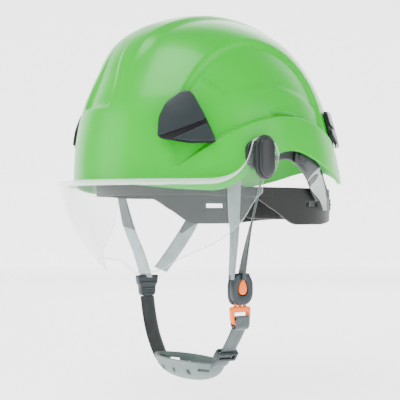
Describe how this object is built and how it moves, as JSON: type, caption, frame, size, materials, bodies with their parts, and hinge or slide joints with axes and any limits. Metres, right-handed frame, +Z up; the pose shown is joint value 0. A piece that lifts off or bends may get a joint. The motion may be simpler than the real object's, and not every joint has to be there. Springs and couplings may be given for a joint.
{
  "type": "safety helmet",
  "caption": "Climbing-style hard hat with temple vents, flip-up clear eye shield, webbing cradle, ratchet headband and four-point chin strap with side release buckle.",
  "frame": {"origin": "centre of the head opening, level with the lowest point of the rim at the temples, where the wearer's head takes the helmet", "axes": "+Z up, the front of the helmet faces -Y, the wearer's left is +X"},
  "size_m": [0.2418, 0.2772, 0.3265],
  "materials": {
    "shell_green": "gloss moulded ABS",
    "vent_black": "fine grain",
    "bracket_black": "moulded nylon",
    "visor_clear": "clear polycarbonate",
    "knob_black": "satin moulded",
    "pin_steel": "turned",
    "washer_black": "friction washer",
    "band_black": "moulded",
    "pad_black": "soft sweat pad",
    "hanger_grey": "moulded",
    "webbing_grey": "woven polyester",
    "webbing_black": "woven polyester",
    "crown_webbing": "woven polyester",
    "buckle_black": "moulded acetal",
    "release_orange": "moulded acetal",
    "cup_grey": "soft moulded"
  },
  "bodies": {
    "helmet": {"shell": "shell_green", "front_vent_left": "vent_black", "front_vent_right": "vent_black", "rear_vent_left": "vent_black", "rear_vent_right": "vent_black", "visor_bracket_left": "bracket_black", "visor_bracket_right": "bracket_black", "headband": "band_black", "brow_pad": "pad_black", "crown_strap_long": "crown_webbing", "crown_strap_cross": "crown_webbing", "crown_pad": "pad_black", "suspension_clips": "bracket_black", "nape_hanger_left": "hanger_grey", "nape_hanger_right": "hanger_grey", "front_strap_left": "webbing_grey", "rear_strap_left": "webbing_grey", "front_strap_right": "webbing_grey", "rear_strap_right": "webbing_grey", "buckle_housing": "buckle_black", "side_adjuster": "buckle_black"},
    "visor": {"visor_lens": "visor_clear", "pivot_knob_left": "knob_black", "pivot_knob_right": "knob_black", "pivot_pin_left": "pin_steel", "pivot_pin_right": "pin_steel", "pivot_washers": "washer_black"},
    "nape": {"nape_cradle": "band_black", "nape_pad": "pad_black", "ratchet_housing": "band_black"},
    "ratchet": {"ratchet_knob": "knob_black", "ratchet_pinion": "band_black"},
    "button": {"release_button": "release_orange"},
    "chin_loop": {"buckle_tongue": "release_orange", "chin_strap_left": "webbing_grey", "chin_strap_right": "webbing_black", "chin_cup": "cup_grey"},
    "slider": {"strap_slider": "buckle_black"}
  },
  "joints": [
    {"name": "visor_tilt", "type": "hinge", "parent": "helmet", "child": "visor", "pos_m": [0, -0.0265, 0.0273], "axis": [-1, 0, 0], "range_deg": [0, 36]},
    {"name": "size_slide", "type": "slide", "parent": "helmet", "child": "nape", "axis": [0, -1, 0], "range_m": [0, 0.012]},
    {"name": "ratchet_turn", "type": "hinge", "parent": "nape", "child": "ratchet", "pos_m": [0, 0.124, -0.009], "axis": [0, 1, 0], "range_deg": [0, 275]},
    {"name": "button_press", "type": "slide", "parent": "helmet", "child": "button", "axis": [-1, 0, 0], "range_m": [0, 0.0015], "stiffness_N_per_m": 600},
    {"name": "chin_swing", "type": "hinge", "parent": "helmet", "child": "chin_loop", "pos_m": [-0.077, -0.021, -0.0979], "axis": [0, 1, 0], "range_deg": [0, 80]},
    {"name": "slider_slide", "type": "slide", "parent": "chin_loop", "child": "slider", "axis": [0.6014, 0.0238, 0.7986], "range_m": [0, 0.012]}
  ],
  "couplings": [
    {"joint": "ratchet_turn", "follows": "size_slide", "rad_per_m": 392.7}
  ]
}
